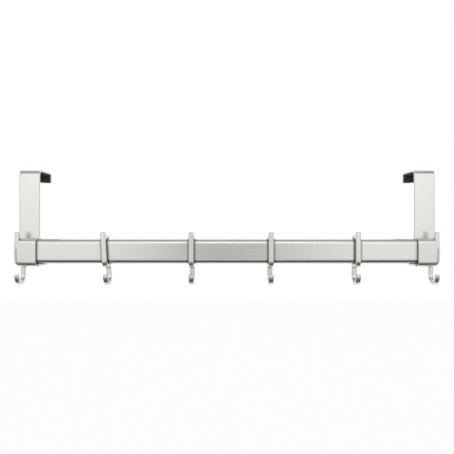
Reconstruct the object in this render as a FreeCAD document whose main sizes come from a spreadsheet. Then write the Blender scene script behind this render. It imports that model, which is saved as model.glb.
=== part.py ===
"""Over door hook rail: a flat oval tube between two cast end caps, hung over the top of a
door by two bent straps, with four hooks that slide on the tube and one on each cap.

Frame: X along the rail, Y into the door, Z up. The origin is half way along the rail, where
the front face of the door meets its top. All sizes are in millimetres.
"""
import FreeCAD, Part
import math
import os
import Sketcher
from FreeCAD import Placement, Rotation, Vector

SIZES = [
    # Door and lining
    ("door_gap", 36.0, "clear space for the door, front to back"),
    ("lining_thickness", 1.5, "foam between the strap and the door"),
    ("lining_margin", 1.0, "bare metal left beside the foam"),
    ("lining_corner", 2.0, "rounded corners of the flat foam"),
    ("lining_slack", 0.2, "room left between the foam and the strap's rear bend"),
    # Door straps
    ("strap_width", 25.6, "width of the flat bar"),
    ("strap_thickness", 2.5, "thickness of the flat bar"),
    ("strap_edge_round", 0.9, "rounded long edges of the flat bar"),
    ("front_bend_radius", 5.0, "inside radius of the bend over the door's front edge"),
    ("rear_bend_radius", 2.0, "inside radius of the bend over the door's rear edge"),
    ("flange_drop", 9.4, "reach of the rear flange below the door's top"),
    ("strap_inset", 15.0, "cap's mouth to the middle of its strap"),
    # Rail tube
    ("rail_drop", 97.0, "door's top down to the middle of the tube"),
    ("rail_height", 30.0, "tube's outside height"),
    ("rail_depth", 15.0, "tube's outside depth"),
    ("rail_wall", 1.2, "tube's wall"),
    ("rail_corner", 5.4, "tube's outside corner radius"),
    ("rail_end_gap", 0.4, "gap between the tube's end and the bottom of its socket"),
    # End caps
    ("cap_mouth", 230.0, "middle of the rail to each cap's mouth"),
    ("cap_length", 27.0, "cap's mouth to its end at the corners"),
    ("cap_bulge", 1.1, "how far the cap's end is domed"),
    ("cap_dome_share", 0.41, "share of the cap's half height that the dome's arc takes up"),
    ("cap_corner", 7.0, "corner radius of the cap's end"),
    ("cap_front_round", 6.0, "rounding round the cap's front face"),
    ("cap_rear_round", 1.2, "rounding of the cap's rear edges"),
    ("cap_mouth_round", 0.6, "rounding of the cap's mouth"),
    ("cap_top_wall", 0.85, "cap's wall above the tube"),
    ("cap_bottom_wall", 3.25, "cap's wall under the tube"),
    ("cap_front_wall", 2.25, "cap's wall before the tube"),
    ("cap_rear_wall", 2.4, "cap's wall behind the tube"),
    ("socket_depth", 19.4, "cap's mouth to the bottom of its socket"),
    ("socket_gap", 0.15, "gap between the tube and its socket"),
    ("ledge_reach", 2.6, "reach of the ledge under the strap's foot"),
    ("ledge_inset", 1.5, "cap's ends to the ends of the ledge"),
    ("ledge_corner", 2.25, "rounded lower corner of the ledge"),
    ("lip_reach", 7.5, "reach of the lip under the tube past the cap's mouth"),
    ("lip_tip", 1.5, "thickness of the lip at its tip"),
    ("lip_round", 0.5, "rounding of the lip's tip"),
    # Hooks on the caps and on the tube
    ("end_hook_inset", 22.6, "cap's mouth to the middle of its hooks"),
    ("end_hook_width", 5.6, "width of a cap's hook"),
    ("end_hook_advance", 1.0, "how far its tip stands before the cap"),
    ("slider_width", 6.2, "width of a sliding hook"),
    ("slider_gap", 0.6, "gap between the tube and a sliding hook"),
    ("slider_front_wall", 4.2, "sliding hook's wall before the tube"),
    ("slider_rear_wall", 2.8, "sliding hook's wall behind the tube"),
    ("slider_top_wall", 3.9, "sliding hook's wall above the tube"),
    ("slider_bottom_wall", 3.7, "sliding hook's wall under the tube"),
    ("slider_corner", 8.0, "sliding hook's outside corner radius"),
    ("slider_window_round", 0.4, "rounding of the sliding hook's window"),
    ("tab_rise", 8.3, "how far each upper hook stands above the tube"),
    ("tab_thickness", 4.2, "thickness of each upper hook"),
    ("tab_root", 12.0, "how far a cap's upper hook is sunk in the cap"),
    ("hook_drop", 25.7, "tube's underside down to the bottom of each lower hook"),
    ("hook_mouth", 12.7, "tube's underside down to the tip of each lower hook"),
    ("hook_thickness", 3.6, "thickness of each lower hook"),
    ("hook_flat", 1.0, "short flat at the bottom of each lower hook"),
    ("hook_tip_round", 1.4, "rounded ends of the upper and lower hooks"),
    ("hook_root_round", 1.6, "hollow corners where hooks spring from the band"),
    ("hook_edge_round", 1.0, "rounding along the edges of the hooks"),
    # Where the four sliding hooks hang, from left to right
    ("first_station", -147.5, "first sliding hook"),
    ("second_station", -43.0, "second sliding hook"),
    ("third_station", 53.0, "third sliding hook"),
    ("fourth_station", 157.4, "fourth sliding hook"),
    ("first_lean", -3.5, "degrees by which the first one leans to the left"),
    # Countersunk screws through strap and cap into the tube
    ("screw_margin", 8.0, "tube's top and underside to the middles of the screws"),
    ("screw_radius", 2.0, "shank of a screw"),
    ("screw_head_radius", 3.8, "head of a screw"),
    ("screw_head_edge", 0.3, "straight edge of its head"),
    ("screw_sink", 0.1, "how far its head lies below the strap's face"),
    ("screw_reach", 1.8, "how far its end stands inside the tube"),
    ("screw_point", 0.5, "bevel at its end"),
    ("screw_gap", 0.1, "gap round the shank and the head"),
    ("drive_span", 4.4, "span of the cross in the head"),
    ("drive_width", 1.0, "width of one arm of the cross"),
    ("drive_depth", 1.3, "depth of the cross"),
]

# How near two places are when they count as one
CLOSE = 1e-4
# How far a cut starts before the wall it goes through, and how deep a root is sunk
OVERLAP = 1.0


class Length:
    """A size as an expression of the sheet's names, with its number beside it."""

    def __init__(self, text, number):
        self.text = text
        self.number = number

    def __add__(self, other):
        return Length(f"({self.text} + {as_length(other).text})", self.number + as_length(other).number)

    def __sub__(self, other):
        return Length(f"({self.text} - {as_length(other).text})", self.number - as_length(other).number)

    def __mul__(self, other):
        return Length(f"({self.text} * {as_length(other).text})", self.number * as_length(other).number)

    def __truediv__(self, other):
        return Length(f"({self.text} / {as_length(other).text})", self.number / as_length(other).number)

    def __neg__(self):
        return Length(f"(-{self.text})", -self.number)


def as_length(value):
    return value if isinstance(value, Length) else Length(repr(float(value)), float(value))


def fill_sheet():
    """Write the driving sizes into the sheet, one row each, and return them by name."""
    sheet = doc.addObject("Spreadsheet::Sheet", "Sizes")
    for row, (alias, number, meaning) in enumerate(SIZES, start=1):
        sheet.set(f"A{row}", meaning)
        sheet.set(f"B{row}", str(number))
        sheet.setAlias(f"B{row}", alias)
    doc.recompute()
    return {alias: Length(f"Sizes.{alias}", float(sheet.get(alias))) for alias, _, _ in SIZES}


doc = FreeCAD.newDocument("OverDoorHook")
size = fill_sheet()
zero = as_length(0)

# Places in the door's frame
strap_top = size["lining_thickness"] + size["strap_thickness"]
rail_y = -(
    strap_top + size["cap_rear_wall"] + size["socket_gap"] + size["rail_depth"] / 2
)
rail_z = -size["rail_drop"]

# Places measured from the middle of the tube's section
tube_side = size["rail_depth"] / 2
tube_top = size["rail_height"] / 2
socket_side = tube_side + size["socket_gap"]
socket_top = tube_top + size["socket_gap"]
cap_front = -(socket_side + size["cap_front_wall"])
cap_rear = socket_side + size["cap_rear_wall"]
cap_top = socket_top + size["cap_top_wall"]
cap_bottom = -(socket_top + size["cap_bottom_wall"])
ledge_rear = cap_rear + size["ledge_reach"]
tab_top = tube_top + size["tab_rise"]
hook_bottom = -(tube_top + size["hook_drop"])
hook_floor = hook_bottom + size["hook_thickness"]
hook_tip = -(tube_top + size["hook_mouth"])
screw_level = tube_top - size["screw_margin"]

# Places along the rail, which follow the cap's mouth
cap_end = size["cap_mouth"] + size["cap_length"]
strap_station = size["cap_mouth"] + size["strap_inset"]
end_hook_station = size["cap_mouth"] + size["end_hook_inset"]

# The dome's arc reaches this share of the way from the middle to the corners, at any height
cap_half_height = (cap_top - cap_bottom) / 2
dome_radius = cap_half_height * cap_half_height * size["cap_dome_share"] / size["cap_bulge"]


def new_body(name):
    body = doc.addObject("PartDesign::Body", name)
    body.Label = name
    return body


def new_sketch(body, name, plane, offset=zero):
    """An empty sketch on one of the body's own planes, moved along the plane's normal.

    The normal of XY is up, that of YZ is along the rail, and that of XZ points out of the
    door, so that an offset there is measured against Y.
    """
    sketch = body.newObject("Sketcher::SketchObject", name)
    origin_plane = next(item for item in body.Origin.OriginFeatures if item.Role == plane)
    sketch.AttachmentSupport = [(origin_plane, "")]
    sketch.MapMode = "FlatFace"
    sketch.setExpression("AttachmentOffset.Base.z", offset.text)
    return sketch


def constrain(sketch, kind, *values, length=None):
    """Add a constraint, and bind it where it has a length."""
    if length is None:
        sketch.addConstraint(Sketcher.Constraint(kind, *values))
        return
    number = sketch.addConstraint(Sketcher.Constraint(kind, *values, length.number))
    sketch.setExpression(f"Constraints[{number}]", length.text)


def fix_point(sketch, geometry, point, spot):
    """Hold a point at two lengths from the sketch's origin."""
    constrain(sketch, "DistanceX", -1, 1, geometry, point, length=spot[0])
    constrain(sketch, "DistanceY", -1, 1, geometry, point, length=spot[1])


def add_circle(sketch, across, up, radius):
    circle = Part.Circle(Vector(across.number, up.number, 0), Vector(0, 0, 1), radius.number)
    index = sketch.addGeometry(circle, False)
    constrain(sketch, "Radius", index, length=radius)
    fix_point(sketch, index, 3, (across, up))


def add_outline(sketch, corners, closed=True):
    """Straight lines through the corners, each (across, up) or (across, up, radius).

    A corner with a radius gets an arc tangent to its two lines. The corner itself stays as a
    construction point that both lines pass through, so the lines are placed by their corners.
    """
    count = len(corners)
    spots = [Vector(corner[0].number, corner[1].number, 0) for corner in corners]
    radii = [corner[2] if len(corner) > 2 else None for corner in corners]
    runs = count if closed else count - 1
    ways = [(spots[(i + 1) % count] - spots[i]).normalize() for i in range(runs)]

    def turn(i):
        before, after = ways[i - 1], ways[i % runs]
        return math.atan2(before.cross(after).z, before.dot(after))

    def setback(i):
        return radii[i].number * math.tan(abs(turn(i)) / 2) if radii[i] else 0.0

    lines = []
    for i in range(runs):
        j = (i + 1) % count
        start = spots[i] + ways[i] * setback(i)
        end = spots[j] - ways[i] * setback(j)
        lines.append(sketch.addGeometry(Part.LineSegment(start, end), False))

    for i in range(count):
        if not closed and i in (0, count - 1):
            line, point = (lines[0], 1) if i == 0 else (lines[-1], 2)
            fix_point(sketch, line, point, corners[i][:2])
            continue
        before, after = lines[i - 1], lines[i % runs]
        if radii[i] is None:
            constrain(sketch, "Coincident", before, 2, after, 1)
            fix_point(sketch, after, 1, corners[i][:2])
            continue
        leftward = turn(i) > 0
        side = Vector(-ways[i - 1].y, ways[i - 1].x, 0) * (1 if leftward else -1)
        centre = spots[i] - ways[i - 1] * setback(i) + side * radii[i].number
        first = spots[i] - ways[i - 1] * setback(i) - centre
        last = spots[i] + ways[i % runs] * setback(i) - centre
        if not leftward:
            first, last = last, first
        circle = Part.Circle(centre, Vector(0, 0, 1), radii[i].number)
        start_angle = math.atan2(first.y, first.x)
        end_angle = math.atan2(last.y, last.x)
        arc = sketch.addGeometry(Part.ArcOfCircle(circle, start_angle, end_angle), False)
        constrain(sketch, "Tangent", before, 2, arc, 1 if leftward else 2)
        constrain(sketch, "Tangent", arc, 2 if leftward else 1, after, 1)
        constrain(sketch, "Radius", arc, length=radii[i])
        corner_point = sketch.addGeometry(Part.Point(spots[i]), True)
        fix_point(sketch, corner_point, 1, corners[i][:2])
        constrain(sketch, "PointOnObject", corner_point, 1, before)
        constrain(sketch, "PointOnObject", corner_point, 1, after)


def add_rounded_rectangle(sketch, left, right, bottom, top, radius):
    corners = [(left, bottom), (right, bottom), (right, top), (left, top)]
    add_outline(sketch, [(across, up, radius) for across, up in corners])


def pad(body, sketch, length, symmetric=False):
    feature = body.newObject("PartDesign::Pad", f"{sketch.Name}Pad")
    feature.Profile = sketch
    feature.SideType = "Symmetric" if symmetric else "One side"
    feature.setExpression("Length", length.text)
    doc.recompute()
    return feature


def pocket(body, sketch, length, along_normal=False):
    """Cut away from the sketch's normal, or along it."""
    before = body.Shape.Volume
    feature = body.newObject("PartDesign::Pocket", f"{sketch.Name}Pocket")
    feature.Profile = sketch
    feature.Reversed = along_normal
    feature.setExpression("Length", length.text)
    doc.recompute()
    if feature.Shape.Volume > before - CLOSE:
        raise RuntimeError(f"{feature.Name} cuts nothing")
    return feature


def fillet(body, name, radius, is_wanted):
    """Round the edges of the body that the test picks."""
    base = body.Tip
    edges = [f"Edge{i}" for i, edge in enumerate(base.Shape.Edges, start=1) if is_wanted(edge.BoundBox)]
    feature = body.newObject("PartDesign::Fillet", name)
    feature.Base = (base, edges)
    feature.setExpression("Radius", radius.text)
    doc.recompute()
    return feature


def lies_at(low, high, level):
    """Whether an edge's box is flat along one axis and lies at a level there."""
    return abs(low - level.number) < CLOSE and abs(high - level.number) < CLOSE


def set_down(item, across=zero, into=zero, up=zero, turn=None):
    """Place a finished piece in the door's frame."""
    item.Placement = Placement(Vector(0, 0, 0), turn or Rotation())
    for axis, length in (("x", across), ("y", into), ("z", up)):
        item.setExpression(f"Placement.Base.{axis}", length.text)


# Rail tube
def make_rail():
    body = new_body("rail_tube")
    section = new_sketch(body, "TubeSection", "YZ_Plane")
    add_rounded_rectangle(section, -tube_side, tube_side, -tube_top, tube_top, size["rail_corner"])
    bore_side = tube_side - size["rail_wall"]
    bore_top = tube_top - size["rail_wall"]
    bore_corner = size["rail_corner"] - size["rail_wall"]
    add_rounded_rectangle(section, -bore_side, bore_side, -bore_top, bore_top, bore_corner)
    tube_end = size["cap_mouth"] + size["socket_depth"] - size["rail_end_gap"]
    pad(body, section, tube_end * 2, symmetric=True)

    holes = new_sketch(body, "TubeHoles", "XZ_Plane", -(bore_side - OVERLAP))
    for side in (-1, 1):
        for level in (-1, 1):
            add_circle(
                holes,
                strap_station * side,
                screw_level * level,
                size["screw_radius"] + size["screw_gap"],
            )
    pocket(body, holes, size["rail_wall"] + 2 * OVERLAP)
    set_down(body, into=rail_y, up=rail_z)
    return body


# End caps
def make_cap_shell():
    """The cast cup that takes the tube's end, with the strap's ledge and the lip below."""
    body = new_body("CapShell")
    mouth = size["cap_mouth"]
    face = new_sketch(body, "CapFace", "XZ_Plane", -cap_rear)
    add_outline(face, [
        (mouth, cap_bottom),
        (cap_end, cap_bottom, size["cap_corner"]),
        (cap_end + size["cap_bulge"], zero, dome_radius),
        (cap_end, cap_top, size["cap_corner"]),
        (mouth, cap_top),
    ])
    pad(body, face, cap_rear - cap_front)

    def off_the_mouth(box):
        return box.XMax > mouth.number + CLOSE

    fillet(body, "CapFrontRound", size["cap_front_round"],
           lambda box: lies_at(box.YMin, box.YMax, cap_front) and off_the_mouth(box))
    fillet(body, "CapRearRound", size["cap_rear_round"],
           lambda box: lies_at(box.YMin, box.YMax, cap_rear) and off_the_mouth(box))

    socket = new_sketch(body, "CapSocket", "YZ_Plane", mouth)
    socket_corner = size["rail_corner"] + size["socket_gap"]
    add_rounded_rectangle(socket, -socket_side, socket_side, -socket_top, socket_top, socket_corner)
    pocket(body, socket, size["socket_depth"], along_normal=True)

    def on_the_rim(box):
        inside = box.YMin > -socket_side.number - CLOSE and box.YMax < socket_side.number + CLOSE
        inside = inside and box.ZMin > -socket_top.number - CLOSE and box.ZMax < socket_top.number + CLOSE
        return lies_at(box.XMin, box.XMax, mouth) and not inside

    fillet(body, "CapMouthRound", size["cap_mouth_round"], on_the_rim)

    ledge = new_sketch(body, "CapLedge", "XZ_Plane", -ledge_rear)
    ledge_end = cap_end - size["ledge_inset"]
    add_outline(ledge, [
        (mouth + size["ledge_inset"], cap_bottom),
        (ledge_end, cap_bottom, size["ledge_corner"]),
        (ledge_end, -socket_top),
        (mouth + size["ledge_inset"], -socket_top),
    ])
    pad(body, ledge, size["ledge_reach"] + size["cap_rear_wall"])

    lip = new_sketch(body, "CapLip", "XZ_Plane", -cap_rear)
    lip_root = mouth + size["ledge_inset"]
    lip_end = mouth - size["lip_reach"]
    add_outline(lip, [
        (lip_root, cap_bottom),
        (lip_root, -socket_top),
        (lip_end, -socket_top, size["lip_round"]),
        (lip_end, -(socket_top + size["lip_tip"]), size["lip_round"]),
    ])
    pad(body, lip, cap_rear - cap_front - size["cap_front_round"])

    holes = new_sketch(body, "CapHoles", "XZ_Plane", -(socket_side - OVERLAP))
    for level in (-1, 1):
        add_circle(
            holes,
            strap_station,
            screw_level * level,
            size["screw_radius"] + size["screw_gap"],
        )
    pocket(body, holes, size["cap_rear_wall"] + 2 * OVERLAP)
    return body


def make_plate_hook(name, corners, root):
    """A flat hook cast as a plate at the end hook's station, with rounded edges past its root."""
    body = new_body(name)
    outline = new_sketch(body, f"{name}Outline", "YZ_Plane", end_hook_station)
    add_outline(outline, corners)
    pad(body, outline, size["end_hook_width"], symmetric=True)
    near = end_hook_station - size["end_hook_width"] / 2
    far = end_hook_station + size["end_hook_width"] / 2

    def is_seen(box):
        on_a_face = lies_at(box.XMin, box.XMax, near) or lies_at(box.XMin, box.XMax, far)
        return on_a_face and not lies_at(box.ZMin, box.ZMax, root)

    fillet(body, f"{name}Round", size["hook_edge_round"], is_seen)
    return body


def lower_hook(front, rear, top):
    """Corners of a hook that hangs from its rear leg and turns up in front, from its tip on."""
    reach = rear - front - size["hook_thickness"]
    inner = (reach - size["hook_flat"] - size["hook_thickness"]) / 2
    outer = inner + size["hook_thickness"]
    tip_inside = front + size["hook_thickness"]
    leg_front = rear - size["hook_thickness"]
    return [
        (leg_front, top),
        (leg_front, hook_floor, inner),
        (tip_inside, hook_floor, inner),
        (tip_inside, hook_tip, size["hook_tip_round"]),
        (front, hook_tip, size["hook_tip_round"]),
        (front, hook_bottom, outer),
        (rear, hook_bottom, outer),
    ]


def make_end_cap():
    shell = make_cap_shell()
    tab_rear = cap_front + size["tab_thickness"]
    tab_root = tube_top - size["tab_root"]
    tab = make_plate_hook("CapTab", [
        (cap_front, tab_root),
        (tab_rear, tab_root),
        (tab_rear, tab_top, size["hook_tip_round"]),
        (cap_front, tab_top, size["hook_tip_round"]),
    ], tab_root)
    hook_root = -(socket_top + OVERLAP)
    hook_front = cap_front - size["end_hook_advance"]
    hook = make_plate_hook(
        "CapHook", lower_hook(hook_front, ledge_rear, hook_root) + [(ledge_rear, hook_root)], hook_root
    )
    cap = doc.addObject("Part::MultiFuse", "end_cap_right")
    cap.Shapes = [shell, tab, hook]
    cap.Label = "end_cap_right"
    set_down(cap, into=rail_y, up=rail_z)
    return cap


# Door straps
def make_strap():
    """A flat bar with rounded edges, bent up the door's front, over its top and down behind."""
    body = new_body("door_strap_right")
    half = size["strap_thickness"] / 2
    front = -(size["lining_thickness"] + half)
    rear = size["door_gap"] + size["lining_thickness"] + half
    level = size["lining_thickness"] + half
    foot = rail_z - socket_top

    path = new_sketch(body, "StrapPath", "YZ_Plane")
    add_outline(path, [
        (front, foot),
        (front, level, size["front_bend_radius"] + half),
        (rear, level, size["rear_bend_radius"] + half),
        (rear, -size["flange_drop"]),
    ], closed=False)

    bar = new_sketch(body, "StrapBar", "XY_Plane", foot)
    half_width = size["strap_width"] / 2
    add_rounded_rectangle(
        bar, -half_width, half_width, front - half, front + half, size["strap_edge_round"]
    )
    doc.recompute()
    bend = body.newObject("PartDesign::AdditivePipe", "StrapBend")
    bend.Profile = bar
    bend.Spine = (path, [f"Edge{i}" for i in range(1, len(path.Shape.Edges) + 1)])
    doc.recompute()

    spots = new_sketch(body, "StrapHoles", "XZ_Plane", size["lining_thickness"])
    for step in (-1, 1):
        add_circle(
            spots,
            zero,
            rail_z + screw_level * step,
            size["screw_radius"] + size["screw_gap"],
        )
    doc.recompute()
    before = body.Shape.Volume
    holes = body.newObject("PartDesign::Hole", "StrapCountersinks")
    holes.Profile = spots
    holes.Reversed = True
    holes.DepthType = "ThroughAll"
    holes.HoleCutType = "Countersink"
    holes.HoleCutCustomValues = True
    holes.HoleCutCountersinkAngle = 90
    holes.setExpression("Diameter", ((size["screw_radius"] + size["screw_gap"]) * 2).text)
    sink_radius = (
        size["screw_head_radius"] + size["screw_head_edge"] + size["screw_sink"] + size["screw_gap"]
    )
    holes.setExpression("HoleCutDiameter", (sink_radius * 2).text)
    doc.recompute()
    if body.Shape.Volume > before - CLOSE:
        raise RuntimeError("the countersinks cut nothing")
    set_down(body, across=strap_station)
    return body


# Foam linings
def make_upper_lining():
    """Foam under the strap's top plate and inside its rear flange, as one bent strip."""
    body = new_body("upper_lining_right")
    start = size["front_bend_radius"] - size["lining_thickness"] + size["lining_margin"]
    rear = size["door_gap"] + size["lining_thickness"]
    end = -(size["flange_drop"] - size["lining_margin"])
    section = new_sketch(body, "UpperLiningSection", "YZ_Plane")
    add_outline(section, [
        (start, zero),
        (size["door_gap"], zero),
        (size["door_gap"], end),
        (rear, end),
        (rear, size["lining_thickness"], size["rear_bend_radius"] + size["lining_slack"]),
        (start, size["lining_thickness"]),
    ])
    pad(body, section, size["strap_width"] - size["lining_margin"] * 2, symmetric=True)
    set_down(body, across=strap_station)
    return body


def make_lower_lining():
    """Foam on the back of the strap's front leg, between the bend and the cap."""
    body = new_body("lower_lining_right")
    half_width = size["strap_width"] / 2 - size["lining_margin"]
    low = rail_z + cap_top + size["lining_margin"]
    high = size["lining_thickness"] - size["front_bend_radius"] - size["lining_margin"]
    face = new_sketch(body, "LowerLiningFace", "XZ_Plane")
    add_rounded_rectangle(face, -half_width, half_width, low, high, size["lining_corner"])
    pad(body, face, size["lining_thickness"])
    set_down(body, across=strap_station)
    return body


# Screws
def make_screw(name, level):
    """A countersunk screw: its own Z leaves the head, and points into the door when placed."""
    body = new_body(name)
    head = size["screw_head_radius"]
    shank = size["screw_radius"]
    edge = size["screw_head_edge"]
    head_face = -(size["lining_thickness"] + size["screw_sink"])
    tip = rail_y + tube_side - size["rail_wall"] - size["screw_reach"]
    length = head_face - tip
    profile = new_sketch(body, f"{name}Profile", "XZ_Plane")
    add_outline(profile, [
        (zero, -length),
        (shank - size["screw_point"], -length),
        (shank, -(length - size["screw_point"])),
        (shank, -(edge + head - shank)),
        (head, -edge),
        (head, zero),
        (zero, zero),
    ])
    turned = body.newObject("PartDesign::Revolution", f"{name}Turned")
    turned.Profile = profile
    turned.ReferenceAxis = (profile, ["V_Axis"])
    turned.Angle = 360
    doc.recompute()

    cross = new_sketch(body, f"{name}Cross", "XY_Plane")
    arm = size["drive_span"] / 2
    side = size["drive_width"] / 2
    add_outline(cross, [
        (arm, -side), (arm, side), (side, side), (side, arm), (-side, arm), (-side, side),
        (-arm, side), (-arm, -side), (-side, -side), (-side, -arm), (side, -arm), (side, -side),
    ])
    pocket(body, cross, size["drive_depth"])
    set_down(
        body,
        across=strap_station,
        into=head_face,
        up=rail_z + screw_level * level,
        turn=Rotation(Vector(1, 0, 0), -90),
    )
    return body


def make_screw_pair():
    pair = doc.addObject("Part::Compound", "strap_screws_right")
    pair.Links = [make_screw("LowerScrew", -1), make_screw("UpperScrew", 1)]
    pair.Label = "strap_screws_right"
    return pair


# Sliding hooks
def make_sliding_hook(number, station, lean):
    """One cast piece: a band round the tube, an upper hook in front and a lower hook below."""
    body = new_body(f"sliding_hook_{number}")
    window_side = tube_side + size["slider_gap"]
    window_top = tube_top + size["slider_gap"]
    front = -(window_side + size["slider_front_wall"])
    rear = window_side + size["slider_rear_wall"]
    top = window_top + size["slider_top_wall"]
    bottom = -(window_top + size["slider_bottom_wall"])
    tab_rear = front + size["tab_thickness"]
    hook = lower_hook(front, rear, bottom)
    leg_front = hook[0][0]

    outline = new_sketch(body, f"SliderOutline{number}", "YZ_Plane")
    add_outline(outline, [
        (tab_rear, tab_top, size["hook_tip_round"]),
        (front, tab_top, size["hook_tip_round"]),
        (front, bottom, size["slider_corner"]),
        (leg_front, bottom, size["hook_root_round"]),
        *hook[1:],
        (rear, top, size["slider_corner"]),
        (tab_rear, top, size["hook_root_round"]),
    ])
    pad(body, outline, size["slider_width"], symmetric=True)

    window = new_sketch(body, f"SliderWindow{number}", "YZ_Plane", -(size["slider_width"] / 2))
    window_corner = size["rail_corner"] + size["slider_gap"]
    add_rounded_rectangle(window, -window_side, window_side, -window_top, window_top, window_corner)
    pocket(body, window, size["slider_width"], along_normal=True)

    half_width = size["slider_width"] / 2

    def on_a_face(box):
        return lies_at(box.XMin, box.XMax, half_width) or lies_at(box.XMin, box.XMax, -half_width)

    def at_the_window(box):
        inside = box.YMin > -window_side.number - CLOSE and box.YMax < window_side.number + CLOSE
        return inside and box.ZMin > -window_top.number - CLOSE and box.ZMax < window_top.number + CLOSE

    fillet(body, f"SliderRound{number}", size["hook_edge_round"],
           lambda box: on_a_face(box) and not at_the_window(box))
    fillet(body, f"SliderWindowRound{number}", size["slider_window_round"],
           lambda box: on_a_face(box) and at_the_window(box))
    set_down(
        body,
        across=station,
        into=rail_y,
        up=rail_z,
        turn=Rotation(Vector(0, 1, 0), lean.number),
    )
    return body


def mirrored(item, label):
    """The same piece on the other side of the rail's middle."""
    mirror = doc.addObject("Part::Mirroring", label)
    mirror.Source = item
    mirror.Base = Vector(0, 0, 0)
    mirror.Normal = Vector(1, 0, 0)
    mirror.Label = label
    return mirror


def make_pieces():
    right = [make_end_cap(), make_strap(), make_upper_lining(), make_lower_lining(), make_screw_pair()]
    left = [mirrored(item, item.Label.replace("right", "left")) for item in right]
    stations = ["first_station", "second_station", "third_station", "fourth_station"]
    leans = [size["first_lean"], zero, zero, zero]
    sliders = [
        make_sliding_hook(number, size[station], lean)
        for number, (station, lean) in enumerate(zip(stations, leans), start=1)
    ]
    return [make_rail(), *right, *left, *sliders]


def check_and_write(pieces):
    doc.recompute()
    for item in doc.Objects:
        if "Invalid" in item.State or "Error" in item.State:
            raise RuntimeError(f"{item.Name} failed: {item.State}")
    os.makedirs("parts", exist_ok=True)
    for piece in pieces:
        if piece.Shape.isNull() or not piece.Shape.isValid():
            raise RuntimeError(f"{piece.Label} has no valid shape")
        piece.Shape.exportStep(f"parts/{piece.Label}.step")
        box = piece.Shape.BoundBox
        print(f"{piece.Label}: {len(piece.Shape.Solids)} solid(s), {piece.Shape.Volume:.0f} mm3, "
              f"x {box.XMin:.1f} {box.XMax:.1f}, y {box.YMin:.1f} {box.YMax:.1f}, "
              f"z {box.ZMin:.1f} {box.ZMax:.1f}")


check_and_write(make_pieces())
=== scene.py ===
"""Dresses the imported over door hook: satin metal on the rail, caps, hooks and straps, bright
screws and foam linings, in a plain white studio. Lengths are in metres.
"""
import math

import bpy
import numpy as np
from bpy.props import FloatProperty, FloatVectorProperty, PointerProperty
from bpy.types import Operator, Panel, PropertyGroup
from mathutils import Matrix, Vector


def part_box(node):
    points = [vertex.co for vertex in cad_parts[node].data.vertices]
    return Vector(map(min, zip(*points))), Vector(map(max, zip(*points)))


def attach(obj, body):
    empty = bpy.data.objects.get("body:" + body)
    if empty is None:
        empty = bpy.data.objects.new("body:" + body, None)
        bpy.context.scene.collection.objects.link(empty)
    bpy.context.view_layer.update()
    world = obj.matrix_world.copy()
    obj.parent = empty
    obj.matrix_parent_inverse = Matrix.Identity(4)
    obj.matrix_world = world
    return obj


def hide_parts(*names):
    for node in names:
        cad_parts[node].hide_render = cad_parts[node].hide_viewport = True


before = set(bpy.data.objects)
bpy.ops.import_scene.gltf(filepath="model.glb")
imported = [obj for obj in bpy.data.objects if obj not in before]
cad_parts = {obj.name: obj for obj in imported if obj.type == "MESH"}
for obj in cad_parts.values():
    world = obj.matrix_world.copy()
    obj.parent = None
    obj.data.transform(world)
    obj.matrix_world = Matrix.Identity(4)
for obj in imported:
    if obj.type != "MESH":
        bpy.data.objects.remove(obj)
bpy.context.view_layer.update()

bl_info = {
    "name": "Over Door Hook",
    "version": (1, 0, 0),
    "blender": (4, 5, 0),
    "location": "View3D > Sidebar > Door Hook",
    "description": "Finishes, linings and studio for a hook rail that hangs over a door",
    "category": "Object",
}

SIDES = ("left", "right")
SLIDERS = ("sliding_hook_1", "sliding_hook_2", "sliding_hook_3", "sliding_hook_4")
WHITE = (1.0, 1.0, 1.0, 1.0)
QUARTER_TURN = math.pi / 2

# Smallest length that anything is divided by
TINY = 1e-9

# Sockets of a Mix node for colours: its factor, its two colours, and the result
MIX_INPUTS = (0, 6, 7)
MIX_RESULT = 2

# In the finishes below, grain and clouds are in cells per metre along X, Y and Z. A bump is a
# depth in metres and a strength. Tints are what the colour is multiplied by where a pattern is
# lowest and highest, and a swing is how far the roughness goes between the two.
CLOUD_DETAIL = 2.0

# Where two patterns share a tint, the main one has this much of it
MAIN_SHARE = 0.6

# Satin metal, whose brushing runs along the axes on which the grain is low
RAIL_GRAIN = (30.0, 2200.0, 2200.0)
CAST_GRAIN = (1400.0, 1400.0, 1400.0)
STRAP_GRAIN = (2200.0, 60.0, 60.0)
GRAIN_DETAIL = 3.0
GRAIN_BUMP = (0.00002, 0.25)
GRAIN_SWING = 0.10
METAL_CLOUDS = (24.0, 24.0, 24.0)
METAL_CLOUD_SWING = 0.05
METAL_TINTS = (0.965, 1.02)

# Painted shade: corners are darkened where another face is nearer than the reach, down to a share of
# their colour
CORNER_REACH = 0.004
CORNER_SHADE = 0.14
CORNER_ROUGHNESS = 0.15
CORNER_SAMPLES = 8

# Zinc on the screws, with turning rings a pitch apart
RING_PITCH = 0.0004
RING_BUMP = (0.00001, 0.3)
RING_SWING = 0.06
ZINC_CLOUDS = (300.0, 300.0, 300.0)
ZINC_CLOUD_SWING = 0.08
ZINC_ROUGHNESS = 0.20
ZINC_TINTS = (0.90, 1.0)

# Foam with open cells
CELL_SCALE = 2200.0
CELL_BUMP = (0.0002, 0.8)
FOAM_CLOUDS = (400.0, 400.0, 400.0)
FOAM_CLOUD_SWING = 0.12
FOAM_ROUGHNESS = 0.82
FOAM_TINTS = (0.55, 1.6)

# How finely the linings are gridded: between points, and in each quarter circle
GRID_STEP = 0.0006
ROUND_STEPS = 5

# Waves of the foam's uneven skin: how far each turns along X, Y and Z, in radians per metre
SKIN_WAVES = ((2900, 0, 1300), (-1700, 2300, 0), (0, 900, 2700))

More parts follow.
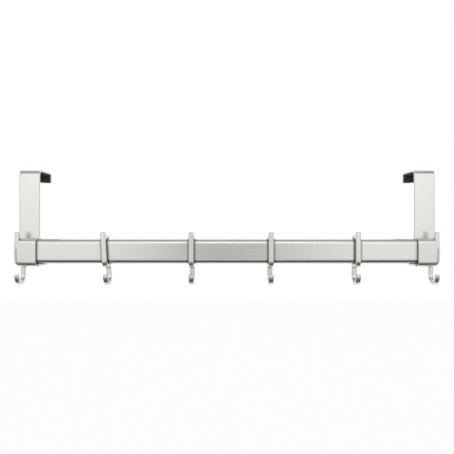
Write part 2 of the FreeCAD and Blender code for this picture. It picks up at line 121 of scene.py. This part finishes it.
# The room that the metal mirrors. The tilt raises the middle of the front light, and a higher
# power makes a light or a shade narrower.
FRONT_TILT = 0.12
FRONT_POWER = 5.0
CAMERA_POWER = 55.0
WALL_POWER = 4.0
BELOW_POWER = 0.7

# Sine of the angle behind the object's plane from which the backdrop is fully white
BACKDROP_EDGE = 0.2

# Two soft lights above the object, one before it and one behind: name, place and watts
LIGHTS = (("soft_front_top", (0.0, -1.2, 0.75), 0.5),
          ("soft_back_top", (0.0, 1.0, 0.85), 1.2))
LIGHT_SIZE = (2.4, 0.35)
LIGHT_AIM = (0.0, 0.0, -0.07)

# The floor lies behind and below the object. It is plain white for this share, and matt for
# the rest.
FLOOR_REACH = 2.5
FLOOR_FRONT = 0.20
FLOOR_LEVEL = -0.50
FLOOR_COLOUR = (0.85, 0.85, 0.85, 1.0)
FLOOR_WHITE = 0.96

# Width of the camera's sensor in millimetres
SENSOR_WIDTH = 36.0


class FinishSettings(PropertyGroup):
    """Colours and gloss of the metals."""

    rail_colour: FloatVectorProperty(
        name="Rail", description="Plating of the flat tube", default=(0.72, 0.71, 0.69),
        subtype="COLOR", size=3, min=0, max=1)
    cast_colour: FloatVectorProperty(
        name="Castings", description="Plating of the caps and hooks", default=(0.765, 0.755, 0.735),
        subtype="COLOR", size=3, min=0, max=1)
    strap_colour: FloatVectorProperty(
        name="Straps", description="Plating of the bent straps", default=(0.725, 0.712, 0.672),
        subtype="COLOR", size=3, min=0, max=1)
    screw_colour: FloatVectorProperty(
        name="Screws", description="Zinc on the countersunk screws", default=(0.70, 0.71, 0.72),
        subtype="COLOR", size=3, min=0, max=1)
    satin: FloatProperty(
        name="Satin", description="Roughness of the drawn tube and the straps", default=0.24,
        min=0, max=1, subtype="FACTOR")
    cast_satin: FloatProperty(
        name="Cast satin", description="Roughness of the caps and hooks", default=0.32,
        min=0, max=1, subtype="FACTOR")
    # Strength of the painted shade on the tube beside the caps and hooks
    rail_painted_shade: FloatProperty(
        name="Rail contact", description="How strongly the tube darkens beside caps and hooks",
        default=2.0, min=0, max=4, subtype="FACTOR")
    # Strength of the painted shade in the corners of the caps, hooks and screws
    cast_painted_shade: FloatProperty(
        name="Cast contact", description="How strongly caps, hooks and screws darken in corners",
        default=0.9, min=0, max=4, subtype="FACTOR")


class LiningSettings(PropertyGroup):
    """Sizes and colour of the foam."""

    thickness: FloatProperty(
        name="Thickness", description="Thickness of the foam", default=0.0015, unit="LENGTH")
    edge_round: FloatProperty(
        name="Edge round", description="Rounding of the cut edges", default=0.0004, unit="LENGTH")
    corner_round: FloatProperty(
        name="Corner round", description="Corners of the flat lining", default=0.002, unit="LENGTH")
    bend_round: FloatProperty(
        name="Bend", description="Radius of the foam's middle in the rear bend", default=0.00145,
        unit="LENGTH")
    pore_depth: FloatProperty(
        name="Pores", description="Depth of the uneven skin", default=0.00005, unit="LENGTH")
    colour: FloatVectorProperty(
        name="Foam", description="Colour of the foam", default=(0.066, 0.063, 0.061),
        subtype="COLOR", size=3, min=0, max=1)


class StudioSettings(PropertyGroup):
    """Camera and light."""

    camera_distance: FloatProperty(
        name="Distance", description="Camera before the door's face", default=0.634, unit="LENGTH")
    camera_height: FloatProperty(
        name="Height", description="Camera above the door's top", default=-0.070, unit="LENGTH")
    lens: FloatProperty(
        name="Lens", description="Focal length in millimetres", default=40.3, unit="CAMERA")
    rise: FloatProperty(
        name="Rise", description="Upward shift of the view, as a share of its width",
        default=0.0044, min=-1, max=1, subtype="FACTOR")
    room_light: FloatProperty(
        name="Room", description="Brightness of the room all round", default=0.20,
        min=0, max=4, subtype="FACTOR")
    front_light: FloatProperty(
        name="Front", description="Brightness of the wide soft light before the object",
        default=1.48, min=0, max=4, subtype="FACTOR")
    camera_shade: FloatProperty(
        name="Camera shade", description="Brightness that is missing where the camera stands",
        default=1.36, min=0, max=4, subtype="FACTOR")
    ceiling_light: FloatProperty(
        name="Ceiling", description="Brightness that the ceiling adds", default=0.22,
        min=0, max=4, subtype="FACTOR")
    wall_light: FloatProperty(
        name="Walls", description="Brightness that the side walls add", default=0.60,
        min=0, max=4, subtype="FACTOR")
    below_shade: FloatProperty(
        name="Below", description="How much darker the room is below", default=0.70,
        min=0, max=1, subtype="FACTOR")


def shade(colour, amount):
    """A colour with every channel multiplied by an amount."""
    return tuple(channel * amount for channel in colour)


class Wire:
    """An output of a shader node. Sums on it add Math nodes."""

    def __init__(self, graph, output):
        self.graph = graph
        self.output = output

    def math(self, operation, *others):
        """A Math node that takes this wire first."""
        inputs = dict(enumerate((self, *others)))
        return self.graph.add("ShaderNodeMath", {"operation": operation}, inputs)

    def __add__(self, other):
        return self.math("ADD", other)

    def __sub__(self, other):
        return self.math("SUBTRACT", other)

    def __rsub__(self, other):
        return -self + other

    def __mul__(self, other):
        return self.math("MULTIPLY", other)

    def __pow__(self, other):
        return self.math("POWER", other)

    def __abs__(self):
        return self.math("ABSOLUTE")

    def __neg__(self):
        return self * -1.0

    __radd__ = __add__
    __rmul__ = __mul__

    def positive(self):
        """The same value, but never below 0."""
        return self.math("MAXIMUM", 0.0)

    def share(self):
        """The same value, kept between 0 and 1."""
        return self.positive().math("MINIMUM", 1.0)


class Graph:
    """A node tree that is filled from empty."""

    def __init__(self, tree):
        self.tree = tree
        tree.nodes.clear()

    def add(self, kind, settings, inputs, output=0):
        """A node with its settings and its inputs' values or wires; gives one of its outputs."""
        node = self.tree.nodes.new(kind)
        for name, value in settings.items():
            setattr(node, name, value)
        for name, value in inputs.items():
            if isinstance(value, Wire):
                self.tree.links.new(value.output, node.inputs[name])
            else:
                node.inputs[name].default_value = value
        return Wire(self, node.outputs[output]) if len(node.outputs) else None

    def noise(self, place, scale, detail=CLOUD_DETAIL):
        """Noise from 0 to 1 over a place, with a scale for each axis."""
        stretched = self.add("ShaderNodeMapping", {}, {"Vector": place, "Scale": scale})
        return self.add("ShaderNodeTexNoise", {}, {"Vector": stretched, "Scale": 1.0, "Detail": detail})

    def mix(self, share, first, second):
        """The first colour at share 0 and the second at 1. Each is a colour or a wire."""
        colours = [end if isinstance(end, Wire) else (*end, 1.0) for end in (first, second)]
        inputs = dict(zip(MIX_INPUTS, (share, *colours)))
        return self.add("ShaderNodeMix", {"data_type": "RGBA"}, inputs, output=MIX_RESULT)

    def tint(self, pattern, colour, tints):
        """A colour times the first tint where the pattern is 0, and times the second at 1."""
        lowest, highest = tints
        return self.mix(pattern, shade(colour, lowest), shade(colour, highest))

    def split(self, place):
        """The x, y and z of a place."""
        parts = self.add("ShaderNodeSeparateXYZ", {}, {"Vector": place}).output.node.outputs
        return [Wire(self, part) for part in parts]

    def corner(self, painted_shade):
        """Mask of painted shade, from 0 in the open to 1 deep in a corner; a higher strength gets to 1
        sooner.
        """
        openness = self.add("ShaderNodeAmbientOcclusion", {"samples": CORNER_SAMPLES},
                            {"Distance": CORNER_REACH}, output="AO")
        return ((1.0 - openness) * painted_shade).share()

    def seeing_rays(self):
        """Two wires: 1 for the camera's own rays, and 1 for rays off or through a piece."""
        camera, glossy, through = (
            self.add("ShaderNodeLightPath", {}, {}, output=kind)
            for kind in ("Is Camera Ray", "Is Glossy Ray", "Is Transmission Ray"))
        return camera, glossy + through


def new_material(name):
    """A material, its empty graph, and the wire of places on the object."""
    material = bpy.data.materials.new(name)
    material.use_nodes = True
    graph = Graph(material.node_tree)
    place = graph.add("ShaderNodeTexCoord", {}, {}, output="Object")
    return material, graph, place


def surface(graph, colour, roughness, metallic, height, bump):
    """Joins colour, roughness and a height map to the material's output."""
    depth, strength = bump
    normal = graph.add("ShaderNodeBump", {}, {
        "Height": height, "Distance": depth, "Strength": strength})
    shader = graph.add("ShaderNodeBsdfPrincipled", {}, {
        "Base Color": colour, "Roughness": roughness, "Metallic": metallic, "Normal": normal})
    graph.add("ShaderNodeOutputMaterial", {}, {"Surface": shader})


def together(main, second):
    """Two patterns in one, from 0 to 1, in which the main one shows more."""
    return main * MAIN_SHARE + second * (1.0 - MAIN_SHARE)


def satin_metal(name, colour, roughness, grain_scale, painted_shade=0.0):
    """Plating with a fine grain, drawn out along the axes whose scale is low, over faint clouds.

    The last argument sets how strongly the colour is darkened where another face comes close. This is
    painted shade, for the dark lines that the soft light leaves out. At 2 a square corner is as dark as
    it gets.
    """
    material, graph, place = new_material(name)
    grain = graph.noise(place, grain_scale, GRAIN_DETAIL)
    clouds = graph.noise(place, METAL_CLOUDS)
    tint = graph.tint(together(clouds, grain), colour, METAL_TINTS)
    gloss = (grain - 0.5) * GRAIN_SWING + (clouds - 0.5) * METAL_CLOUD_SWING + roughness
    # Painted shade: the colour is darkened near other faces, and such corners also get rougher
    if painted_shade:
        corner = graph.corner(painted_shade)
        tint = graph.mix(corner, tint, shade(colour, CORNER_SHADE))
        gloss = gloss + corner * CORNER_ROUGHNESS
    surface(graph, tint, gloss, 1.0, grain, GRAIN_BUMP)
    return material


def turned_zinc(name, colour, centres, painted_shade):
    """Bright metal with turning rings round each screw's middle, and painted shade in the recess.

    Both screws lie the same way above and below the middle of the pair, so the distance from
    the nearest one is the root of (|x| - station)^2 + (|z - level| - step)^2.
    """
    station, level, step = centres
    material, graph, place = new_material(name)
    across, _, up = graph.split(place)
    sideways = abs(across) - station
    upward = abs(up - level) - step
    distance = (sideways * sideways + upward * upward) ** 0.5
    rings = (distance * (2 * math.pi / RING_PITCH)).math("SINE") * 0.5 + 0.5
    clouds = graph.noise(place, ZINC_CLOUDS)
    tint = graph.tint(clouds, colour, ZINC_TINTS)
    # Painted shade darkens the recess and other corners of the screws
    tint = graph.mix(graph.corner(painted_shade), tint, shade(colour, CORNER_SHADE))
    gloss = rings * RING_SWING + clouds * ZINC_CLOUD_SWING + ZINC_ROUGHNESS
    surface(graph, tint, gloss, 1.0, rings, RING_BUMP)
    return material


def cell_foam(name, colour):
    """Matt black foam with fine open cells."""
    material, graph, place = new_material(name)
    cells = graph.add("ShaderNodeTexVoronoi", {}, {"Vector": place, "Scale": CELL_SCALE})
    clouds = graph.noise(place, FOAM_CLOUDS)
    tint = graph.tint(together(cells, clouds), colour, FOAM_TINTS)
    gloss = clouds * FOAM_CLOUD_SWING + FOAM_ROUGHNESS
    surface(graph, tint, gloss, 0.0, cells, CELL_BUMP)
    return material


def coat(nodes, material):
    """Give CAD nodes one material."""
    for name in nodes:
        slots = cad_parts[name].data.materials
        slots.clear()
        slots.append(material)


def rounded_section(half_width, half_height, radius, columns):
    """Outline of a rounded bar, anticlockwise: straight runs joined by quarter circles.

    The points of a quarter circle are its centre plus radius * (cos a, sin a).
    """
    turn = np.linspace(0.0, QUARTER_TURN, ROUND_STEPS + 1)
    across = np.linspace(1.0, -1.0, columns)[1:-1] * (half_width - radius)
    quarters = []
    for quarter, (side, rise) in enumerate(((1, 1), (-1, 1), (-1, -1), (1, -1))):
        angle = turn + quarter * QUARTER_TURN
        quarters.append(np.stack([
            side * (half_width - radius) + radius * np.cos(angle),
            rise * (half_height - radius) + radius * np.sin(angle)], axis=1))
    top = np.stack([across, np.full_like(across, half_height)], axis=1)
    bottom = np.stack([-across, np.full_like(across, -half_height)], axis=1)
    return np.concatenate([quarters[0], top, quarters[1], quarters[2], bottom, quarters[3]])


def ring_stations(length, corner):
    """Distances along a strip: close together in its rounded ends, even between them.

    In an end they are corner * (1 - cos a), where a goes evenly up to a quarter turn.
    """
    ease = corner * (1.0 - np.cos(np.linspace(0.0, QUARTER_TURN, 2 * ROUND_STEPS)))
    middle = np.linspace(corner, length - corner, max(2, int((length - 2 * corner) / GRID_STEP)))
    return np.concatenate([ease[:-1], middle, (length - ease[::-1])[1:]])


def taper(distance, radius):
    """How far a rounded end stands back from full size, this far from the end.

    That is radius - root(radius^2 - (radius - distance)^2), and nothing past the radius.
    """
    inside = np.clip(radius - distance, 0.0, radius)
    return radius - np.sqrt(radius ** 2 - inside ** 2)


def bent_line(low, high, half, bend):
    """A lining's middle line: back along the top, round a quarter circle, and down behind.

    Gives its length, and a function that turns distances s along it into places (y, z) and
    outward normals. In the bend a place is hub + bend * normal, and the normal is
    (sin a, cos a) with a = (s - run) / bend.
    """
    hub = np.array([high.y - half - bend, high.z - half - bend])
    run = hub[0] - low.y
    arc = bend * QUARTER_TURN
    drop = hub[1] - low.z

    def line(s):
        angle = np.clip((s - run) / bend, 0.0, QUARTER_TURN)
        normal = np.stack([np.sin(angle), np.cos(angle)], axis=1)
        middle = hub + bend * normal
        middle[:, 0] -= np.clip(run - s, 0.0, None)
        middle[:, 1] -= np.clip(s - run - arc, 0.0, None)
        return middle, normal

    return run + arc + drop, line


def straight_line(low, high):
    """A lining's middle line straight down behind the front leg.

    Gives what bent_line does. A place is the box's middle in y and its top less s in z, and the
    normal looks forward.
    """
    depth = (low.y + high.y) / 2

    def line(s):
        middle = np.stack([np.full_like(s, depth), high.z - s], axis=1)
        return middle, np.tile([-1.0, 0.0], (len(s), 1))

    return high.z - low.z, line


def strip(half_width, half_height, edge, corner, length, line):
    """Rings of points round a strip that is carried along a line.

    line(s) gives the middle (y, z) and the outward normal at distance s. Each ring is the
    bar's section, narrowed by the corner's circle and thinned by the edge's circle near the
    two ends.
    """
    stations = ring_stations(length, corner)
    near = np.minimum(stations, length - stations)
    middle, normal = line(stations)
    columns = int(2 * half_width / GRID_STEP)
    full = rounded_section(half_width, half_height, edge, columns)
    widths = (half_width - taper(near, corner)) / half_width
    heights = (half_height - taper(near, edge)) / half_height
    height = full[None, :, 1] * heights[:, None]
    points = np.empty((len(stations), len(full), 3))
    points[..., 0] = full[None, :, 0] * widths[:, None]
    points[..., 1] = middle[:, None, 0] + height * normal[:, None, 0]
    points[..., 2] = middle[:, None, 1] + height * normal[:, None, 1]
    return points


def uneven(points, depth):
    """Sinks the skin towards the strip's middle line, by up to a depth.

    The sink at p is depth * (sum of sin(w . p) over the waves w + n) / 2n, for n waves.
    """
    count = len(SKIN_WAVES)
    waves = sum(np.sin(points @ np.array(wave)) for wave in SKIN_WAVES)
    away = points - points.mean(axis=1, keepdims=True)
    away[..., 0] = 0.0
    reach = np.linalg.norm(away, axis=-1, keepdims=True)
    sink = depth * (waves[..., None] + count) / (2 * count)
    return points - away / np.maximum(reach, TINY) * np.minimum(sink, reach / 2)


def mesh_from_rings(name, points):
    """Joins rings of points into a mesh, with a flat face on each end and all faces outwards.

    A quad a, b, c, d joins two neighbours of one ring to the same two of the next. The sum of
    a . (b x c) + a . (c x d) over the quads is below 0 where these strips are inside out, and
    then every face is turned.
    """
    rings, count, _ = points.shape
    index = np.arange(rings * count).reshape(rings, count)
    after = np.roll(index, -1, axis=1)
    quads = np.stack([index[:-1], after[:-1], after[1:], index[1:]], axis=-1).reshape(-1, 4)
    flat = points.reshape(-1, 3)
    corners = flat[quads]
    volume = np.einsum("ij,ij->i", corners[:, 0], np.cross(corners[:, 1], corners[:, 2])).sum()
    volume += np.einsum("ij,ij->i", corners[:, 0], np.cross(corners[:, 2], corners[:, 3])).sum()
    faces = quads.tolist() + [index[0, ::-1].tolist(), index[-1].tolist()]
    if volume < 0:
        faces = [face[::-1] for face in faces]
    mesh = bpy.data.meshes.new(name)
    mesh.from_pydata(flat.tolist(), [], faces)
    if mesh.validate():
        raise RuntimeError(f"{name} has faces that aren't valid")
    mesh.shade_smooth()
    item = bpy.data.objects.new(name, mesh)
    bpy.context.scene.collection.objects.link(item)
    return item


class HOOKRAIL_OT_rail(Operator):
    """Finish the flat tube with fine lengthwise brushing"""

    bl_idname = "hookrail.rail"
    bl_label = "Rail"

    def execute(self, context):
        finish = context.scene.hookrail_finish
        material = satin_metal("satin_rail", finish.rail_colour, finish.satin, RAIL_GRAIN,
                               finish.rail_painted_shade)
        coat(["rail_tube"], material)
        return {"FINISHED"}


class HOOKRAIL_OT_castings(Operator):
    """Finish the end caps and the sliding hooks"""

    bl_idname = "hookrail.castings"
    bl_label = "Castings"

    def execute(self, context):
        finish = context.scene.hookrail_finish
        material = satin_metal("satin_cast", finish.cast_colour, finish.cast_satin, CAST_GRAIN,
                               finish.cast_painted_shade)
        coat([f"end_cap_{side}" for side in SIDES], material)
        coat(SLIDERS, material)
        return {"FINISHED"}


class HOOKRAIL_OT_straps(Operator):
    """Finish the bent straps, brushed along the bar"""

    bl_idname = "hookrail.straps"
    bl_label = "Straps"

    def execute(self, context):
        finish = context.scene.hookrail_finish
        material = satin_metal("satin_strap", finish.strap_colour, finish.satin, STRAP_GRAIN)
        coat([f"door_strap_{side}" for side in SIDES], material)
        return {"FINISHED"}


class HOOKRAIL_OT_screws(Operator):
    """Finish the countersunk screws"""

    bl_idname = "hookrail.screws"
    bl_label = "Screws"

    def execute(self, context):
        # The box holds two screws, one over the other, so it is as wide as one head
        low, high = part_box("strap_screws_right")
        station = (low.x + high.x) / 2
        level = (low.z + high.z) / 2
        step = (high.z - low.z) / 2 - (high.x - low.x) / 2
        finish = context.scene.hookrail_finish
        material = turned_zinc("bright_zinc", finish.screw_colour, (station, level, step),
                               finish.cast_painted_shade)
        coat([f"strap_screws_{side}" for side in SIDES], material)
        return {"FINISHED"}


class HOOKRAIL_OT_linings(Operator):
    """Lay the foam in both straps"""

    bl_idname = "hookrail.linings"
    bl_label = "Linings"

    def execute(self, context):
        lining = context.scene.hookrail_lining
        material = cell_foam("cell_foam", lining.colour)
        for side in SIDES:
            upper = f"upper_lining_{side}"
            path = bent_line(*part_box(upper), lining.thickness / 2, lining.bend_round)
            self.lay(f"foam_upper_{side}", upper, path, lining.edge_round, lining, material)

            lower = f"lower_lining_{side}"
            path = straight_line(*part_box(lower))
            self.lay(f"foam_lower_{side}", lower, path, lining.corner_round, lining, material)
        return {"FINISHED"}

    @staticmethod
    def lay(name, node, path, corner, lining, material):
        """Carry a strip along a path where its CAD solid is, and let it stand for that solid."""
        low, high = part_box(node)
        points = strip((high.x - low.x) / 2, lining.thickness / 2, lining.edge_round, corner, *path)
        points = uneven(points, lining.pore_depth)
        points[..., 0] += (low.x + high.x) / 2
        item = mesh_from_rings(name, points)
        item.data.materials.append(material)
        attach(item, "rail")
        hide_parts(node)


def add_area_light(name, place, power):
    """A wide soft light that looks at the object."""
    light = bpy.data.lights.new(name, "AREA")
    light.shape = "RECTANGLE"
    light.size, light.size_y = LIGHT_SIZE
    light.energy = power
    item = bpy.data.objects.new(name, light)
    item.location = place
    item.rotation_euler = (Vector(LIGHT_AIM) - Vector(place)).to_track_quat("-Z", "Y").to_euler()
    bpy.context.scene.collection.objects.link(item)


class HOOKRAIL_OT_studio(Operator):
    """Set up the camera, the soft light, the white room and the floor"""

    bl_idname = "hookrail.studio"
    bl_label = "Studio"

    def execute(self, context):
        scene = context.scene
        studio = scene.hookrail_studio
        self.set_camera(scene, studio)
        for name, place, power in LIGHTS:
            add_area_light(name, place, power)
        self.fill_world(scene, studio)
        self.lay_floor(scene)
        scene.view_settings.view_transform = "Standard"
        return {"FINISHED"}

    @staticmethod
    def set_camera(scene, studio):
        """A level camera that looks along +Y, straight at the door."""
        camera = bpy.data.cameras.new("camera")
        camera.sensor_width = SENSOR_WIDTH
        camera.lens = studio.lens
        camera.shift_y = studio.rise
        item = bpy.data.objects.new("camera", camera)
        item.location = (0.0, -studio.camera_distance, studio.camera_height)
        item.rotation_euler = (QUARTER_TURN, 0.0, 0.0)
        scene.collection.objects.link(item)
        scene.camera = item

    @staticmethod
    def fill_world(scene, studio):
        """A dim room with a wide soft light in front, shaded where the camera stands.

        The camera sees white all round. The metal mirrors a white backdrop behind the object
        and the room in front of it, and matt surfaces are lit by the room alone.
        """
        world = bpy.data.worlds.new("room")
        world.use_nodes = True
        scene.world = world
        graph = Graph(world.node_tree)
        way = graph.add("ShaderNodeTexCoord", {}, {}, output="Generated")
        across, into, up = graph.split(way)
        front = (-into + up * FRONT_TILT).positive() ** FRONT_POWER * studio.front_light
        camera = (-into).positive() ** CAMERA_POWER * studio.camera_shade
        ceiling = up.positive() * studio.ceiling_light
        walls = abs(across) ** WALL_POWER * studio.wall_light
        below = (-up).positive() ** BELOW_POWER * studio.below_shade
        room = (front - camera + ceiling + walls + studio.room_light) * (1.0 - below)
        camera_ray, mirrored = graph.seeing_rays()
        backdrop = (into * (1.0 / BACKDROP_EDGE)).share()
        white = (camera_ray + mirrored * backdrop).share()
        strength = room * (1.0 - white) + white
        light = graph.add("ShaderNodeBackground", {}, {"Color": WHITE, "Strength": strength})
        graph.add("ShaderNodeOutputWorld", {}, {"Surface": light})

    @staticmethod
    def lay_floor(scene):
        """A pale floor behind the object: nearly white to the camera and in the metal.

        Only its small matt share can take a shadow.
        """
        mesh = bpy.data.meshes.new("floor")
        corners = [(-FLOOR_REACH, FLOOR_FRONT, FLOOR_LEVEL), (FLOOR_REACH, FLOOR_FRONT, FLOOR_LEVEL),
                   (FLOOR_REACH, FLOOR_REACH, FLOOR_LEVEL), (-FLOOR_REACH, FLOOR_REACH, FLOOR_LEVEL)]
        mesh.from_pydata(corners, [], [(0, 1, 2, 3)])
        material = bpy.data.materials.new("pale_floor")
        material.use_nodes = True
        graph = Graph(material.node_tree)
        matt = graph.add("ShaderNodeBsdfDiffuse", {}, {"Color": FLOOR_COLOUR})
        white = graph.add("ShaderNodeEmission", {}, {"Color": WHITE, "Strength": 1.0})
        camera_ray, mirrored = graph.seeing_rays()
        seen = (camera_ray + mirrored).share() * FLOOR_WHITE
        both = graph.add("ShaderNodeMixShader", {}, {0: seen, 1: matt, 2: white})
        graph.add("ShaderNodeOutputMaterial", {}, {"Surface": both})
        mesh.materials.append(material)
        floor = bpy.data.objects.new("floor", mesh)
        scene.collection.objects.link(floor)


class HOOKRAIL_PT_panel(Panel):
    """Lists the steps that dress the rail"""

    bl_idname = "HOOKRAIL_PT_panel"
    bl_label = "Door Hook"
    bl_space_type = "VIEW_3D"
    bl_region_type = "UI"
    bl_category = "Door Hook"

    def draw(self, context):
        for operator in OPERATORS:
            self.layout.operator(operator.bl_idname)
        for settings in (context.scene.hookrail_finish, context.scene.hookrail_lining,
                         context.scene.hookrail_studio):
            box = self.layout.box()
            for name in settings.__annotations__:
                box.prop(settings, name)


OPERATORS = (HOOKRAIL_OT_rail, HOOKRAIL_OT_castings, HOOKRAIL_OT_straps, HOOKRAIL_OT_screws,
             HOOKRAIL_OT_linings, HOOKRAIL_OT_studio)
CLASSES = (FinishSettings, LiningSettings, StudioSettings, *OPERATORS, HOOKRAIL_PT_panel)


def register():
    for item in CLASSES:
        bpy.utils.register_class(item)
    bpy.types.Scene.hookrail_finish = PointerProperty(type=FinishSettings)
    bpy.types.Scene.hookrail_lining = PointerProperty(type=LiningSettings)
    bpy.types.Scene.hookrail_studio = PointerProperty(type=StudioSettings)


def unregister():
    del bpy.types.Scene.hookrail_studio
    del bpy.types.Scene.hookrail_lining
    del bpy.types.Scene.hookrail_finish
    for item in reversed(CLASSES):
        bpy.utils.unregister_class(item)


def main():
    """Runs every step in order."""
    register()
    bpy.ops.hookrail.rail()
    bpy.ops.hookrail.castings()
    bpy.ops.hookrail.straps()
    bpy.ops.hookrail.screws()
    bpy.ops.hookrail.linings()
    bpy.ops.hookrail.studio()
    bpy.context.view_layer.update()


if __name__ == "__main__":
    main()
